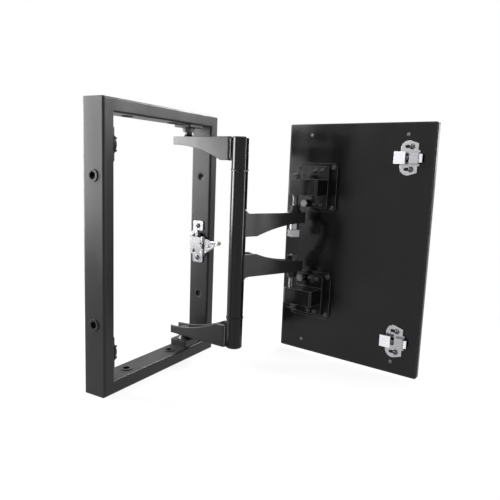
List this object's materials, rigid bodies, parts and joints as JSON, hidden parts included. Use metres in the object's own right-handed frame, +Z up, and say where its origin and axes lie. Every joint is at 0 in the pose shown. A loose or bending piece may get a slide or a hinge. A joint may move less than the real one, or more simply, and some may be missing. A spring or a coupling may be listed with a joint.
{
  "type": "concealed access panel",
  "caption": "Tube-framed concealed access panel: a clad steel panel hung on a double-jointed hinge with channel arms and a round post, with a spring latch, keepers and spring-bolt strikes.",
  "frame": {"origin": "middle of the frame's underside, at half the tube's depth", "axes": "+Z up along the stiles, +X along the rails towards the hinge stile, -Y out of the frame towards the room"},
  "size_m": [0.3629, 0.4084, 0.42],
  "materials": {
    "frame_paint": "satin black paint",
    "sleeve_black": "satin black",
    "pivot_black": "satin black",
    "nut_grey": "dull zinc",
    "latch_zinc": "zinc plated",
    "pin_steel": "ground steel",
    "spring_steel": "bright spring wire",
    "screw_zinc": "zinc plated",
    "screw_dark": "dark zinc",
    "rivet_steel": "dull steel",
    "keeper_black": "satin black",
    "screw_black": "black oxide",
    "arm_paint": "satin black paint",
    "bush_bronze": "sintered bronze",
    "post_paint": "semi-gloss black paint",
    "washer_black": "black nylon",
    "panel_paint": "semi-gloss black paint",
    "panel_back_paint": "gloss black paint",
    "core_board": "pale board",
    "bracket_black": "satin black",
    "stud_zinc": "zinc plated",
    "strike_zinc": "zinc plated",
    "bolt_bright": "bright nickel",
    "ball_nylon": "pale nylon"
  },
  "bodies": {
    "frame": {"left_stile": "frame_paint", "right_stile": "frame_paint", "top_rail": "frame_paint", "bottom_rail": "frame_paint", "stile_sleeves": "sleeve_black", "rail_sleeves": "sleeve_black", "upper_pivot_plate": "pivot_black", "lower_pivot_block": "pivot_black", "upper_pivot_pin": "pivot_black", "lower_pivot_pin": "pivot_black", "pivot_lock_nut": "nut_grey", "pivot_cones": "pivot_black", "latch_plate": "latch_zinc", "latch_pin": "pin_steel", "latch_spring": "spring_steel", "latch_screws": "screw_dark", "upper_keeper": "keeper_black", "lower_keeper": "keeper_black", "keeper_screws": "screw_black"},
    "link": {"upper_frame_arm": "arm_paint", "lower_frame_arm": "arm_paint", "pivot_bushes": "bush_bronze", "upper_post_stub": "post_paint", "lower_post_stub": "post_paint", "post_spindle": "pin_steel", "thrust_washers": "washer_black"},
    "post": {"post_tube": "post_paint", "post_bushes": "bush_bronze", "upper_panel_arm": "arm_paint", "lower_panel_arm": "arm_paint"},
    "panel": {"panel_tray": "panel_paint", "panel_back": "panel_back_paint", "panel_core": "core_board", "panel_rivets": "rivet_steel", "upper_hinge_base": "bracket_black", "lower_hinge_base": "bracket_black", "upper_hinge_block": "bracket_black", "lower_hinge_block": "bracket_black", "hinge_screws": "screw_black", "flange_bolts": "screw_black", "upper_hinge_stud": "stud_zinc", "lower_hinge_stud": "stud_zinc", "stud_nuts": "stud_zinc", "stud_spacers": "stud_zinc", "hinge_adjusters": "nut_grey", "block_nuts": "screw_black", "stud_collars": "washer_black", "upper_strike_plate": "strike_zinc", "lower_strike_plate": "strike_zinc", "strike_springs": "spring_steel", "strike_screws": "screw_zinc"},
    "upper_bolt": {"upper_strike_bolt": "bolt_bright"},
    "lower_bolt": {"lower_strike_bolt": "bolt_bright"},
    "latch": {"latch_arm": "latch_zinc", "latch_ball": "ball_nylon"}
  },
  "joints": [
    {"name": "link_swing", "type": "hinge", "parent": "frame", "child": "link", "pos_m": [0.077, 0, 0.21], "axis": [0, 0, 1], "range_deg": [-105.88, 6]},
    {"name": "post_swivel", "type": "hinge", "parent": "link", "child": "post", "pos_m": [0.06646, -0.10949, 0.21], "axis": [0, 0, 1], "range_deg": [-6.71, 117.49]},
    {"name": "panel_pivot", "type": "hinge", "parent": "post", "child": "panel", "pos_m": [0.17559, -0.15695, 0.21], "axis": [0, 0, 1], "range_deg": [-94.91, 5.42]},
    {"name": "latch_swing", "type": "hinge", "parent": "frame", "child": "latch", "pos_m": [0.1105, -0.011, 0.199], "axis": [0, 0, 1], "range_deg": [-82.05, 4.7]},
    {"name": "upper_bolt_slide", "type": "slide", "parent": "panel", "child": "upper_bolt", "axis": [0.1167, 0.9932, 0], "range_m": [0, 0.005], "stiffness_N_per_m": 400},
    {"name": "lower_bolt_slide", "type": "slide", "parent": "panel", "child": "lower_bolt", "axis": [0.1167, 0.9932, 0], "range_m": [0, 0.005], "stiffness_N_per_m": 400}
  ],
  "couplings": [
    {"joint": "post_swivel", "follows": "link_swing", "ratio": -1.1092},
    {"joint": "panel_pivot", "follows": "link_swing", "ratio": 0.8959},
    {"joint": "latch_swing", "follows": "link_swing", "ratio": 0.7744}
  ]
}
